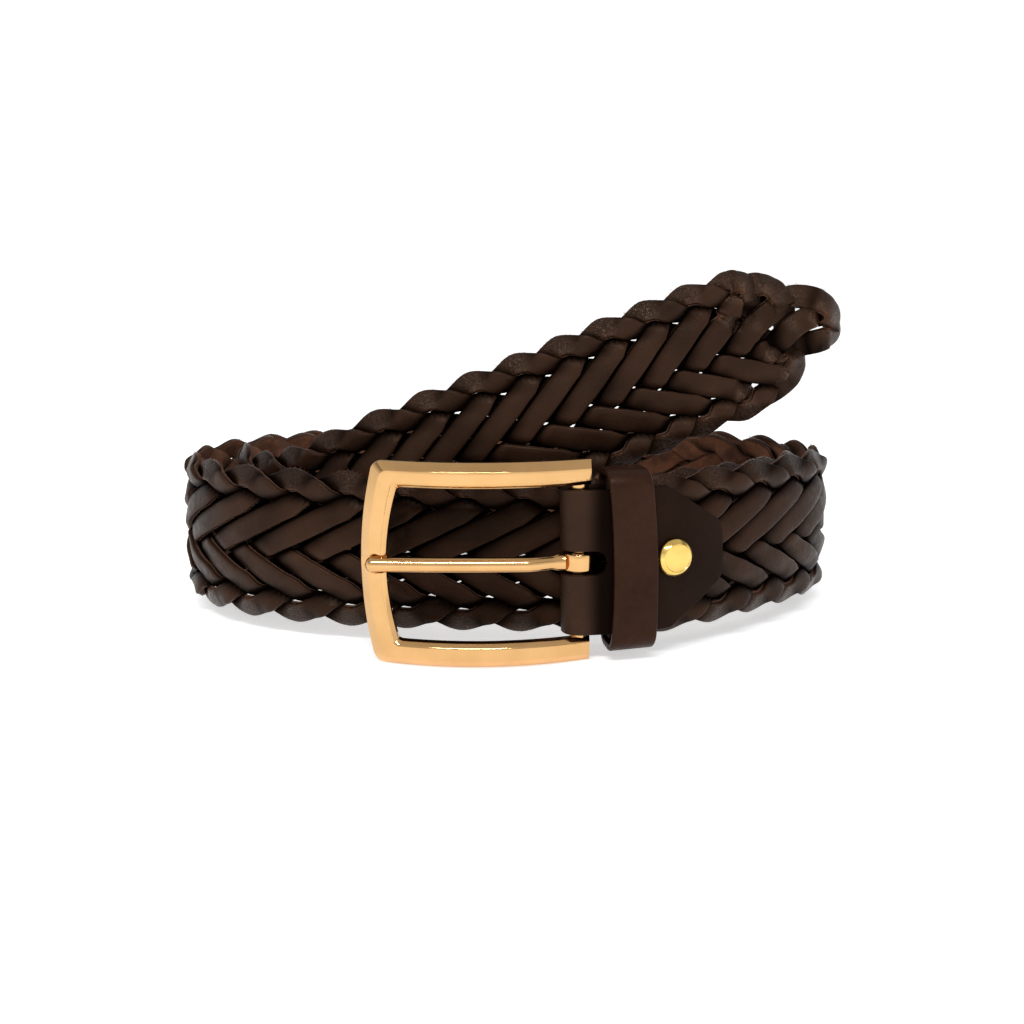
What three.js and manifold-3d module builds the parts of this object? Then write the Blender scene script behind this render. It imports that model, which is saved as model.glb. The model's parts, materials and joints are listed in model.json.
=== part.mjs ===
// A braided leather belt, coiled and standing on its lower edge, with its free end rising across the coil.
// Millimetres, +Z up, the buckle faces -Y. Each lap is laid out level, then the whole belt leans back a
// little, because the buckle is taller than the strap and lifts the front off the surface it stands on.

import * as THREE from "three";
import { mergeVertices } from "three/addons/utils/BufferGeometryUtils.js";
import Module from "manifold-3d";

const wasm = await Module();
wasm.setup();

// Clearance between pieces that touch
const fitGap = 0.3;

// Clearance between the keeper and the inner lap behind it
const lapClearance = 0.4;

// The braided strap
const strapWidth = 36;
const strapThickness = 4;
const scallopPitch = 12.9;
const scallopDepth = 1.5;
const weaveRelief = 0.35;
const tipTaperLength = 31;
const strapStart = 6.2;

// The coil, measured on the strap's centreline
const coilWidth = 157;
const coilDepth = 95.5;
const freeEndDepth = 28;
const freeEndHeight = 41.4;
const freeEndSlope = 22.2;

// The smooth leather chape, folded round the buckle's bar
const leatherWall = 1.7;
const chapeWidth = 31.5;
const chapeLength = 31.5;
const chapeTaperLength = 13;
const chapeTipWidth = 12.5;
const slotHeight = 5.2;
const slotReach = 5.4;

// The keeper loop
const keeperWall = 1.5;
const keeperWidth = 9;
const keeperStart = 6;
const keeperInnerCorner = 2.2;

// The rivet
const rivetDistance = 19.5;
const rivetHeadDiameter = 8.3;
const rivetHeadHeight = 1.6;
const rivetShankDiameter = 4;
const rivetBackCap = 0.7;

// The buckle
const buckleHeight = 44;
const buckleLength = 46.8;
const buckleThickness = 3.6;
const armWidth = 5.4;
const sideWidth = 5.8;
const sideBulge = 3;
const buckleBow = 6;
const barDiameter = 3.8;
const armPastBar = 2.4;
const outerBevel = 1.8;
const innerBevel = 1;
const backBevel = 0.4;

// The tongue
const tongueDiameter = 3.2;
const tongueEyeWall = 1.4;
const tongueEyeWidth = 3.8;
const tongueArch = 0.8;
const notchDepth = 0.5;
const tongueSetback = 1.4;

// One lap of the coil, from the front centre round by the right, back and left. Across is a share of the
// coil's width and deep a share of its depth. On laps one and two, inset counts layers towards the inside
// and lift is a share of what the buckle raises the front by.
const lap = [
  { across: 0.000, deep: 0.000, insetOne: 0.00, insetTwo: 1.00, liftOne: 0.00, liftTwo: -0.10 },
  { across: 0.151, deep: 0.010, insetOne: 0.00, insetTwo: 1.02, liftOne: 0.05, liftTwo: -0.10 },
  { across: 0.277, deep: 0.094, insetOne: 0.00, insetTwo: 1.02, liftOne: 0.35, liftTwo: 0.00 },
  { across: 0.384, deep: 0.241, insetOne: 0.00, insetTwo: 0.90, liftOne: 0.45, liftTwo: 0.00 },
  { across: 0.465, deep: 0.393, insetOne: 0.00, insetTwo: 0.80, liftOne: 0.25, liftTwo: 0.00 },
  { across: 0.491, deep: 0.560, insetOne: 0.00, insetTwo: 0.78, liftOne: 0.05, liftTwo: 0.00 },
  { across: 0.450, deep: 0.738, insetOne: 0.00, insetTwo: 0.78, liftOne: 0.00, liftTwo: 0.00 },
  { across: 0.340, deep: 0.890, insetOne: 0.00, insetTwo: 0.78, liftOne: 0.00, liftTwo: 0.00 },
  { across: 0.189, deep: 0.974, insetOne: 0.00, insetTwo: 0.78, liftOne: 0.00, liftTwo: 0.00 },
  { across: 0.019, deep: 1.000, insetOne: 0.00, insetTwo: 0.78, liftOne: 0.00, liftTwo: 0.00 },
  { across: -0.157, deep: 0.984, insetOne: 0.00, insetTwo: 0.80, liftOne: 0.00, liftTwo: 0.00 },
  { across: -0.321, deep: 0.911, insetOne: 0.00, insetTwo: 0.90, liftOne: 0.00, liftTwo: 0.10 },
  { across: -0.447, deep: 0.764, insetOne: 0.00, insetTwo: 1.10, liftOne: 0.00, liftTwo: 0.25 },
  { across: -0.509, deep: 0.560, insetOne: 0.00, insetTwo: 1.30, liftOne: 0.00, liftTwo: 0.45 },
  { across: -0.500, deep: 0.372, insetOne: 0.06, insetTwo: 0.00, liftOne: 0.00, liftTwo: 0.00 },
  { across: -0.415, deep: 0.204, insetOne: 0.25, insetTwo: 0.00, liftOne: 0.00, liftTwo: 0.00 },
  { across: -0.289, deep: 0.089, insetOne: 0.55, insetTwo: 0.00, liftOne: 0.00, liftTwo: 0.00 },
  { across: -0.145, deep: 0.026, insetOne: 0.88, insetTwo: 0.00, liftOne: 0.00, liftTwo: 0.00 },
];
const lastRowOfSecondLap = 13;

// The free end leaves the inner lap at the left and runs to the right. Across is a share of the coil's
// width, deep a share of the free end's depth, and climb is 0 in the coil and 1 on the rising line.
const freeEnd = [
  { across: -0.405, deep: 1.46, climb: 0.12 },
  { across: -0.318, deep: 1.17, climb: 0.55 },
  { across: -0.214, deep: 1.03, climb: 1.00 },
  { across: -0.094, deep: 1.00, climb: 1.00 },
  { across: 0.050, deep: 1.02, climb: 1.00 },
  { across: 0.195, deep: 1.07, climb: 1.00 },
  { across: 0.340, deep: 1.16, climb: 1.00 },
  { across: 0.478, deep: 1.29, climb: 1.00 },
  { across: 0.610, deep: 1.43, climb: 1.00 },
  { across: 0.745, deep: 1.50, climb: 1.00 },
];
const routeStart = 0.59;
const tipAcross = 0.475;

// The tapered tip, in shares of its length from the tip inwards and of the strap's half width
const tipRows = [
  { along: 0.00, upper: -0.16, lower: -0.34 },
  { along: 0.06, upper: 0.02, lower: -0.44 },
  { along: 0.20, upper: 0.30, lower: -0.50 },
  { along: 0.34, upper: 0.50, lower: -0.58 },
  { along: 0.52, upper: 0.74, lower: -0.84 },
  { along: 0.78, upper: 0.96, lower: -0.96 },
  { along: 1.00, upper: 1.00, lower: -1.00 },
];

const layerPitch = strapThickness + leatherWall + keeperWall + 3 * fitGap + lapClearance;
const halfWidth = strapWidth / 2;
const leafOffset = strapThickness / 2 + fitGap + leatherWall / 2;
const lapFront = -layerPitch;

// The buckle is taller than the strap and raises the front of the coil by half the difference
const frontLift = (buckleHeight - strapWidth) / 2;

const leather = new THREE.MeshStandardMaterial({ color: 0x3a2924, roughness: 0.5, metalness: 0 });
const smoothLeather = new THREE.MeshStandardMaterial({ color: 0x33231f, roughness: 0.55, metalness: 0 });
const keeperLeather = new THREE.MeshStandardMaterial({ color: 0x43271f, roughness: 0.5, metalness: 0 });
const gold = new THREE.MeshStandardMaterial({ color: 0xe0ad62, roughness: 0.22, metalness: 1 });
const rivetGold = new THREE.MeshStandardMaterial({ color: 0xe8bd5c, roughness: 0.25, metalness: 1 });

// Value of a table's column between its rows, straight from row to row
function readTable(rows, key, column, at) {
  let i = 0;
  while (i < rows.length - 2 && rows[i + 1][key] < at) i += 1;
  const share = (at - rows[i][key]) / (rows[i + 1][key] - rows[i][key]);
  return THREE.MathUtils.lerp(rows[i][column], rows[i + 1][column], THREE.MathUtils.clamp(share, 0, 1));
}

// Plan place of a lap's row, moved inwards by its inset
function lapPoint(index, insetColumn, liftColumn) {
  const place = (row) => new THREE.Vector2(row.across * coilWidth, lapFront + row.deep * coilDepth);
  const count = lap.length;
  const here = place(lap[index]);
  const before = place(lap[(index + count - 1) % count]);
  const after = place(lap[(index + 1) % count]);
  const direction = after.sub(before).normalize();
  const inset = lap[index][insetColumn] * layerPitch;
  const height = halfWidth + lap[index][liftColumn] * frontLift;
  return new THREE.Vector3(here.x - direction.y * inset, here.y + direction.x * inset, height);
}

// Control points of the strap's centreline, from the buckle's bar to past the tip
function routeControls() {
  const points = lap.map((row, index) => lapPoint(index, "insetOne", "liftOne"));
  for (let i = 0; i <= lastRowOfSecondLap; i += 1) points.push(lapPoint(i, "insetTwo", "liftTwo"));
  const slope = Math.tan(THREE.MathUtils.degToRad(freeEndSlope));
  for (const row of freeEnd) {
    const x = row.across * coilWidth;
    const rising = freeEndHeight - halfWidth + slope * x;
    points.push(new THREE.Vector3(x, row.deep * freeEndDepth - layerPitch, halfWidth + row.climb * rising));
  }
  return points;
}

// Smooth centreline: a uniform cubic B-spline measured off by arc length
class StrapRoute {
  constructor() {
    this.controls = routeControls();
    this.samples = [];
    const step = 0.02;
    const tipX = tipAcross * coilWidth;
    const end = this.controls.length - 2;
    let length = 0;
    let last = null;
    for (let t = routeStart; t < end; t += step) {
      const point = this.spline(t);
      if (last) length += point.distanceTo(last);
      this.samples.push({ t, length });
      last = point;
      if (t > lap.length + lastRowOfSecondLap && point.x > tipX) break;
    }
    this.length = length;
  }

  spline(t) {
    const i = Math.floor(t);
    const f = t - i;
    const weights = [(1 - f) ** 3, 3 * f ** 3 - 6 * f ** 2 + 4, -3 * f ** 3 + 3 * f ** 2 + 3 * f + 1, f ** 3];
    const point = new THREE.Vector3();
    weights.forEach((weight, k) => {
      const index = i + k - 1;
      point.addScaledVector(this.controls[index < 0 ? lap.length + index : index], weight / 6);
    });
    return point;
  }

  // Place and directions at a distance from the bar: along the strap, up its width and out of its face
  at(distance) {
    let low = 0;
    let high = this.samples.length - 1;
    while (high - low > 1) {
      const middle = (low + high) >> 1;
      if (this.samples[middle].length <= distance) low = middle;
      else high = middle;
    }
    const a = this.samples[low];
    const b = this.samples[high];
    const t = THREE.MathUtils.lerp(a.t, b.t, (distance - a.length) / (b.length - a.length));
    const nudge = 0.01;
    const centre = this.spline(t);
    const along = this.spline(t + nudge).sub(this.spline(t - nudge)).normalize();
    const up = new THREE.Vector3(0, 0, 1);
    up.addScaledVector(along, -along.z).normalize();
    const out = new THREE.Vector3().crossVectors(along, up);
    return { centre, along, up, out };
  }

  place(distance, across, outward) {
    const { centre, up, out } = this.at(distance);
    return centre.addScaledVector(up, across).addScaledVector(out, outward);
  }
}

const route = new StrapRoute();
const strapEnd = route.length;

// Closed solid from rings of points, each ring with the same count, with flat caps
function loft(rings) {
  const count = rings[0].length;
  const positions = rings.flat().flatMap((p) => [p.x, p.y, p.z]);
  const faces = [];
  for (let r = 0; r < rings.length - 1; r += 1) {
    for (let k = 0; k < count; k += 1) {
      const next = (k + 1) % count;
      const a = r * count + k;
      const b = r * count + next;
      faces.push(a, b, b + count, a, b + count, a + count);
    }
  }
  const last = (rings.length - 1) * count;
  const half = count / 2;
  for (let k = 0; k < half - 1; k += 1) {
    const a = k;
    const b = k + 1;
    const c = count - 2 - k;
    const d = count - 1 - k;
    faces.push(a, d, c, a, c, b);
    faces.push(last + a, last + c, last + d, last + a, last + b, last + c);
  }
  const geometry = new THREE.BufferGeometry();
  geometry.setAttribute("position", new THREE.Float32BufferAttribute(positions, 3));
  geometry.setIndex(signedVolume(positions, faces) < 0 ? faces.reverse() : faces);
  return geometry;
}

// Volume that the faces enclose, negative where they point inwards
function signedVolume(positions, faces) {
  const corner = (index) => new THREE.Vector3().fromArray(positions, 3 * index);
  let volume = 0;
  for (let i = 0; i < faces.length; i += 3) {
    volume += corner(faces[i]).dot(corner(faces[i + 1]).cross(corner(faces[i + 2]))) / 6;
  }
  return volume;
}

function toSolid(geometry) {
  const bare = geometry.clone();
  bare.deleteAttribute("normal");
  bare.deleteAttribute("uv");
  const merged = mergeVertices(bare, 1e-4);
  return new wasm.Manifold(new wasm.Mesh({
    numProp: 3,
    vertProperties: new Float32Array(merged.attributes.position.array),
    triVerts: new Uint32Array(merged.index.array),
  }));
}

function toGeometry(solid) {
  const mesh = solid.getMesh();
  const geometry = new THREE.BufferGeometry();
  geometry.setAttribute("position", new THREE.Float32BufferAttribute(mesh.vertProperties, 3));
  geometry.setIndex(Array.from(mesh.triVerts));
  return geometry;
}

function piece(name, geometry, material) {
  geometry.computeVertexNormals();
  const mesh = new THREE.Mesh(geometry, material);
  mesh.name = name;
  return mesh;
}

// Rows of a strap section across its width, as shares of the half width, with the weave's phase there
const sectionRows = [
  { across: -1.00, thick: 0.55, phase: 0.50 },
  { across: -0.78, thick: 1.00, phase: 0.25 },
  { across: -0.35, thick: 1.00, phase: 0.75 },
  { across: 0.05, thick: 1.00, phase: 0.20 },
  { across: 0.42, thick: 1.00, phase: 0.70 },
  { across: 0.78, thick: 1.00, phase: 0.15 },
  { across: 1.00, thick: 0.55, phase: 0.00 },
];

// Edge of the strap at a distance from the bar: scallops along it, and the taper of the tip
function edgeAt(distance, side) {
  const phase = side > 0 ? 0 : 0.5;
  const wave = Math.abs(Math.sin(Math.PI * (distance / scallopPitch + phase)));
  const toTip = (strapEnd - distance) / tipTaperLength;
  const column = side > 0 ? "upper" : "lower";
  const taper = toTip < 1 ? readTable(tipRows, "along", column, toTip) : side;
  const inTaper = THREE.MathUtils.smoothstep(toTip, 0, 0.5);
  return halfWidth * taper - side * scallopDepth * (1 - wave) * inTaper;
}

function strapRing(distance) {
  const upper = edgeAt(distance, 1);
  const lower = edgeAt(distance, -1);
  const middle = (upper + lower) / 2;
  const reach = (upper - lower) / 2;
  const relief = (row, shift) => weaveRelief * Math.sin(2 * Math.PI * (distance / scallopPitch + row.phase + shift));
  const half = (row, shift) => (strapThickness / 2 - weaveRelief + relief(row, shift)) * row.thick;
  const front = sectionRows.map((row) => route.place(distance, middle + row.across * reach, half(row, 0)));
  const back = sectionRows.map((row) => route.place(distance, middle + row.across * reach, -half(row, 0.5)));
  return front.concat(back.reverse());
}

function braidedStrap() {
  const steps = Math.round((strapEnd - strapStart) / (scallopPitch / 4));
  const rings = [];
  for (let i = 0; i <= steps; i += 1) {
    rings.push(strapRing(THREE.MathUtils.lerp(strapStart, strapEnd, i / steps)));
  }
  return toSolid(loft(rings));
}

// Place on the chape's middle surface: negative distances run along the back leaf, then the fold round the
// bar, then the front leaf
const foldLength = Math.PI * leafOffset;

function chapePlace(position, across, wallShare) {
  const offset = leafOffset + wallShare * leatherWall / 2;
  const side = position > 0 ? 1 : -1;
  const onLeaf = Math.abs(position) - foldLength / 2;
  if (onLeaf >= 0) return route.place(onLeaf, across, side * offset);
  const { centre, along, up, out } = route.at(0);
  const angle = position / leafOffset;
  return centre.addScaledVector(up, across)
    .addScaledVector(along, -offset * Math.cos(angle))
    .addScaledVector(out, offset * Math.sin(angle));
}

function chape() {
  const end = foldLength / 2 + chapeLength;
  const taperStart = end - chapeTaperLength;
  const positions = [-end, -taperStart];
  const leafSteps = 6;
  const foldSteps = 12;
  for (let i = 1; i <= leafSteps; i += 1) {
    positions.push(THREE.MathUtils.lerp(-taperStart, -foldLength / 2, i / leafSteps));
  }
  for (let i = 1; i < foldSteps; i += 1) {
    positions.push(THREE.MathUtils.lerp(-foldLength / 2, foldLength / 2, i / foldSteps));
  }
  for (let i = 0; i < leafSteps; i += 1) {
    positions.push(THREE.MathUtils.lerp(foldLength / 2, taperStart, i / leafSteps));
  }
  positions.push(taperStart, (taperStart + end) / 2, end);
  positions.splice(1, 0, -(taperStart + end) / 2);
  const rings = positions.map((position) => {
    const past = THREE.MathUtils.clamp((Math.abs(position) - taperStart) / chapeTaperLength, 0, 1);
    const half = THREE.MathUtils.lerp(chapeWidth, chapeTipWidth, past) / 2;
    return [
      chapePlace(position, -half, 1),
      chapePlace(position, half, 1),
      chapePlace(position, half, -1),
      chapePlace(position, -half, -1),
    ];
  });
  const slot = new THREE.BoxGeometry(slotReach + 2 * leafOffset, 4 * leafOffset, slotHeight);
  slot.translate(slotReach / 2 - leafOffset, 0, 0);
  slot.applyMatrix4(barMatrix());
  return toSolid(loft(rings)).subtract(toSolid(slot));
}

// Frame of the bar: x along the strap, z up the bar, at the start of the route
function barMatrix() {
  const { centre, along, up, out } = route.at(0);
  return new THREE.Matrix4().makeBasis(along, out.clone().negate(), up).setPosition(centre);
}

// The rivet stands through the chape and the strap, along the strap's outward direction
function rivetMatrix() {
  const { centre, along, up, out } = route.at(rivetDistance);
  return new THREE.Matrix4().makeBasis(along, up, out).setPosition(centre);
}

function rivet() {
  const seat = leafOffset + leatherWall / 2 + fitGap;
  const head = rivetHeadDiameter / 2;
  const shank = rivetShankDiameter / 2;
  const rim = rivetHeadHeight * 0.45;
  const profile = [
    [0, -seat - rivetBackCap], [head * 0.8, -seat - rivetBackCap], [head * 0.8, -seat], [shank, -seat], [shank, seat],
    [head, seat], [head, seat + rim], [head * 0.74, seat + rivetHeadHeight], [head * 0.62, seat + rivetHeadHeight],
    [head * 0.56, seat + rivetHeadHeight * 0.75], [0, seat + rivetHeadHeight * 0.75],
  ];
  const geometry = new THREE.LatheGeometry(profile.map(([r, y]) => new THREE.Vector2(r, y)), 24);
  geometry.rotateX(Math.PI / 2);
  geometry.applyMatrix4(rivetMatrix());
  return geometry;
}

// A hole for the rivet's shank, cut through a piece
function cutRivetHole(solid) {
  const radius = rivetShankDiameter / 2 + fitGap;
  const drill = new THREE.CylinderGeometry(radius, radius, 6 * leafOffset, 16);
  drill.rotateX(Math.PI / 2);
  drill.applyMatrix4(rivetMatrix());
  return solid.subtract(toSolid(drill));
}

// The keeper is a flat leather band bent round the chape and the strap, a rounded rectangle in section
function keeperLoop() {
  const inner = { across: halfWidth + fitGap, out: leafOffset + leatherWall / 2 + fitGap };
  const cornerSteps = 4;
  const outline = (grow) => {
    const points = [];
    const radius = grow + keeperInnerCorner;
    for (const [sx, sy, start] of [[1, 1, 0], [-1, 1, 1], [-1, -1, 2], [1, -1, 3]]) {
      for (let i = 0; i <= cornerSteps; i += 1) {
        const angle = (start + i / cornerSteps) * Math.PI / 2;
        points.push({
          across: sx * (inner.across + grow - radius) + radius * Math.cos(angle),
          out: sy * (inner.out + grow - radius) + radius * Math.sin(angle),
        });
      }
    }
    return points;
  };
  const band = (grow, from, to) => {
    const rings = [];
    const steps = 4;
    for (let i = 0; i <= steps; i += 1) {
      const distance = THREE.MathUtils.lerp(from, to, i / steps);
      rings.push(outline(grow).map((p) => route.place(distance, p.across, p.out)));
    }
    return toSolid(loft(rings));
  };
  const outer = band(keeperWall, keeperStart, keeperStart + keeperWidth);
  return outer.subtract(band(0, keeperStart - keeperWall, keeperStart + keeperWidth + keeperWall));
}

// Bow of the buckle's frame towards the viewer at a place along it, measured from the bar
function bowAt(x) {
  const half = (buckleLength + armPastBar) / 2;
  return -buckleBow * Math.max(0, 1 - ((x - (armPastBar - half)) / half) ** 2);
}

// Outer and inner edge of the frame, station by station, from the upper arm's end round the bowed side to
// the lower arm's end
function buckleStations() {
  const outer = { x: -buckleLength + sideBulge, z: buckleHeight / 2 };
  const inner = { x: outer.x + sideWidth, z: outer.z - armWidth };
  const armSteps = 9;
  const sideSteps = 12;
  const bulge = (share) => sideBulge * (1 - (2 * share - 1) ** 2);
  const upper = [];
  for (let i = 0; i < armSteps; i += 1) {
    const outerX = THREE.MathUtils.lerp(armPastBar, outer.x, i / armSteps);
    const innerX = THREE.MathUtils.lerp(armPastBar, inner.x, i / armSteps);
    upper.push({ outer: [outerX, outer.z], inner: [innerX, inner.z] });
  }
  const side = [];
  for (let i = 0; i <= sideSteps; i += 1) {
    const share = i / sideSteps;
    side.push({
      outer: [outer.x - bulge(share), THREE.MathUtils.lerp(outer.z, -outer.z, share)],
      inner: [inner.x - bulge(share), THREE.MathUtils.lerp(inner.z, -inner.z, share)],
    });
  }
  const lower = upper.map((at) => ({ outer: [at.outer[0], -at.outer[1]], inner: [at.inner[0], -at.inner[1]] }));
  return upper.concat(side, lower.reverse());
}

// Section of the frame from its outer to its inner edge, as distances inwards and towards the viewer
function buckleSection(width) {
  const half = buckleThickness / 2;
  return [
    { inwards: 0, front: half - outerBevel },
    { inwards: outerBevel, front: half },
    { inwards: width - innerBevel, front: half },
    { inwards: width, front: half - innerBevel },
    { inwards: width, front: backBevel - half },
    { inwards: width - backBevel, front: -half },
    { inwards: backBevel, front: -half },
    { inwards: 0, front: backBevel - half },
  ];
}

const tongueRest = -buckleThickness / 2 - tongueDiameter / 2 + notchDepth - fitGap;

function buckleFrame() {
  const rings = buckleStations().map(({ outer, inner }) => {
    const onSide = Math.abs(outer[1]) < buckleHeight / 2;
    const width = onSide ? sideWidth : armWidth;
    return buckleSection(width).map(({ inwards, front }) => {
      const x = THREE.MathUtils.lerp(outer[0], inner[0], inwards / width);
      const z = THREE.MathUtils.lerp(outer[1], inner[1], inwards / width);
      return new THREE.Vector3(x, bowAt(x) - front, z);
    });
  });
  const bar = new THREE.CylinderGeometry(barDiameter / 2, barDiameter / 2, buckleHeight - armWidth, 16);
  bar.rotateX(Math.PI / 2);
  const notchRadius = tongueDiameter / 2 + fitGap;
  const notch = new THREE.CylinderGeometry(notchRadius, notchRadius, 2 * sideWidth, 16);
  notch.rotateZ(Math.PI / 2);
  notch.translate(tongueTipX() - fitGap + sideWidth, tongueRest + bowAt(tongueTipX()), 0);
  return toSolid(loft(rings)).add(toSolid(bar)).subtract(toSolid(notch));
}

function tongueTipX() {
  return -buckleLength + tongueSetback;
}

// The tongue runs from its eye on the bar across the window to its notch in the frame's side
function buckleTongue() {
  const tipY = tongueRest + bowAt(tongueTipX());
  const eyeInner = barDiameter / 2 + fitGap;
  const eyeOuter = eyeInner + tongueEyeWall;
  const tip = tongueTipX();
  const start = -eyeInner - tongueEyeWall / 2;
  const radius = tongueDiameter / 2;
  const rings = [];
  const steps = 12;
  for (let i = 0; i <= steps; i += 1) {
    const share = i / steps;
    const x = THREE.MathUtils.lerp(start, tip, share);
    const fromEye = THREE.MathUtils.smoothstep(share, 0, 0.2);
    const y = THREE.MathUtils.lerp(-eyeOuter * 0.45, tipY, fromEye) - tongueArch * Math.sin(Math.PI * share) * fromEye;
    const slim = i === steps ? 0.7 : 1;
    const sides = 12;
    rings.push(Array.from({ length: sides }, (unused, k) => {
      const angle = -2 * Math.PI * k / sides;
      return new THREE.Vector3(x, y + slim * radius * Math.cos(angle), slim * radius * Math.sin(angle));
    }));
  }
  const eye = new THREE.LatheGeometry([
    new THREE.Vector2(eyeInner, -tongueEyeWidth / 2),
    new THREE.Vector2(eyeOuter, -tongueEyeWidth / 2),
    new THREE.Vector2(eyeOuter, tongueEyeWidth / 2),
    new THREE.Vector2(eyeInner, tongueEyeWidth / 2),
    new THREE.Vector2(eyeInner, -tongueEyeWidth / 2),
  ], 20);
  eye.rotateX(Math.PI / 2);
  const clear = new THREE.CylinderGeometry(eyeInner, eyeInner, 2 * tongueEyeWidth, 20);
  clear.rotateX(Math.PI / 2);
  return toSolid(loft(rings)).add(toSolid(eye)).subtract(toSolid(clear));
}

const belt = new THREE.Group();
belt.add(piece("braided_strap", toGeometry(cutRivetHole(braidedStrap())), leather));
belt.add(piece("chape", toGeometry(cutRivetHole(chape())), smoothLeather));
belt.add(piece("keeper_loop", toGeometry(keeperLoop()), keeperLeather));
belt.add(piece("rivet", rivet(), rivetGold));

// The buckle's own frame: its origin on the bar, x away from the window, y to the back and z up the bar
const buckle = new THREE.Group();
buckle.position.copy(route.at(0).centre);
buckle.add(piece("buckle_frame", toGeometry(buckleFrame()), gold));
buckle.add(piece("buckle_tongue", toGeometry(buckleTongue()), gold));
belt.add(buckle);

// The belt leans back until the buckle and the far lap both touch what it stands on
const lean = Math.atan2(frontLift, coilDepth);
belt.rotation.x = -lean;
belt.updateMatrixWorld(true);
const box = new THREE.Box3().setFromObject(belt, true);
const middle = box.getCenter(new THREE.Vector3());
belt.position.set(-middle.x, -middle.y, -box.min.z);

export default belt;
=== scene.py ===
"""Looks of the coiled braided belt: ten leather strips, chape, keeper, rivet, buckle and tongue."""
import json
import math

import bpy
import numpy as np
from mathutils import Matrix, Vector


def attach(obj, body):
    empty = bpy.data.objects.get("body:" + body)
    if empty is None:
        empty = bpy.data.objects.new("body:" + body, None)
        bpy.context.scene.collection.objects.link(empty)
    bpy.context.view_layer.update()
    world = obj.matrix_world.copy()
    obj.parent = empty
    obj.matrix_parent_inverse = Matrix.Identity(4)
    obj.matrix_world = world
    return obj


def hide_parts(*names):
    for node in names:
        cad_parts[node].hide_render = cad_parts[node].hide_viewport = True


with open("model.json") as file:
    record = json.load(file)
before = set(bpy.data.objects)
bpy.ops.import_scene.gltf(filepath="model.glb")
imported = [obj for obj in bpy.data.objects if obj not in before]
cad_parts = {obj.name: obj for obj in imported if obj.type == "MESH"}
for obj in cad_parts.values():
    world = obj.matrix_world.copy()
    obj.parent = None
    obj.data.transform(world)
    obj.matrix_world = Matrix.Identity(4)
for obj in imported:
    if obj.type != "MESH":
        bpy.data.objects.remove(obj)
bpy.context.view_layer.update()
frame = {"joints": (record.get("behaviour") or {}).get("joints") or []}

MM = 0.001
rng = np.random.default_rng(7)

# Sizes that the looks share with the frame, in millimetres
STRAP_WIDTH = 36.0
STRAP_THICKNESS = 4.0
FIT_GAP = 0.3
LAP_CLEARANCE = 0.4
COIL_WIDTH = 157.0
COIL_DEPTH = 95.5
FREE_END_DEPTH = 28.0
FREE_END_HEIGHT = 41.4
FREE_END_SLOPE = 22.2
STRAP_START = 6.2

LEATHER_WALL = 1.7
CHAPE_WIDTH = 31.5
CHAPE_LENGTH = 31.5
CHAPE_TAPER_LENGTH = 13.0
CHAPE_TIP_WIDTH = 12.5
SLOT_HEIGHT = 5.2
SLOT_REACH = 5.4

KEEPER_WALL = 1.5
KEEPER_WIDTH = 9.0
KEEPER_START = 6.0
KEEPER_INNER_CORNER = 2.2

RIVET_DISTANCE = 19.5
RIVET_HEAD_DIAMETER = 8.3
RIVET_HEAD_HEIGHT = 1.6
RIVET_SHANK_DIAMETER = 4.0
RIVET_BACK_CAP = 0.7

BUCKLE_HEIGHT = 44.0
BUCKLE_LENGTH = 46.8
BUCKLE_THICKNESS = 3.6
ARM_WIDTH = 5.4
SIDE_WIDTH = 5.8
SIDE_BULGE = 3.0
BUCKLE_BOW = 6.0
BAR_DIAMETER = 3.8
ARM_PAST_BAR = 2.4
OUTER_BEVEL = 1.8
INNER_BEVEL = 1.0
BACK_BEVEL = 0.4

TONGUE_DIAMETER = 3.2
TONGUE_EYE_WALL = 1.4
TONGUE_EYE_WIDTH = 3.8
TONGUE_ARCH = 0.8
NOTCH_DEPTH = 0.5
TONGUE_SETBACK = 1.4

HALF_WIDTH = STRAP_WIDTH / 2
LAYER_PITCH = STRAP_THICKNESS + LEATHER_WALL + KEEPER_WALL + 3 * FIT_GAP + LAP_CLEARANCE
LAP_FRONT = -LAYER_PITCH
FRONT_LIFT = (BUCKLE_HEIGHT - STRAP_WIDTH) / 2
LEAF_OFFSET = STRAP_THICKNESS / 2 + FIT_GAP + LEATHER_WALL / 2

# One lap of the coil: across, deep, insets on laps one and two, lifts on laps one and two
LAP = [
    (0.000, 0.000, 0, 1, 0, -0.10),
    (0.151, 0.010, 0, 1.02, 0.05, -0.10),
    (0.277, 0.094, 0, 1.02, 0.35, 0),
    (0.384, 0.241, 0, 0.90, 0.45, 0),
    (0.465, 0.393, 0, 0.80, 0.25, 0),
    (0.491, 0.560, 0, 0.78, 0.05, 0),
    (0.450, 0.738, 0, 0.78, 0, 0),
    (0.340, 0.890, 0, 0.78, 0, 0),
    (0.189, 0.974, 0, 0.78, 0, 0),
    (0.019, 1.000, 0, 0.78, 0, 0),
    (-0.157, 0.984, 0, 0.80, 0, 0),
    (-0.321, 0.911, 0, 0.90, 0, 0.10),
    (-0.447, 0.764, 0, 1.10, 0, 0.25),
    (-0.509, 0.560, 0, 1.30, 0, 0.45),
    (-0.500, 0.372, 0.06, 0, 0, 0),
    (-0.415, 0.204, 0.25, 0, 0, 0),
    (-0.289, 0.089, 0.55, 0, 0, 0),
    (-0.145, 0.026, 0.88, 0, 0, 0),
]
LAST_ROW_OF_SECOND_LAP = 13

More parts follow.
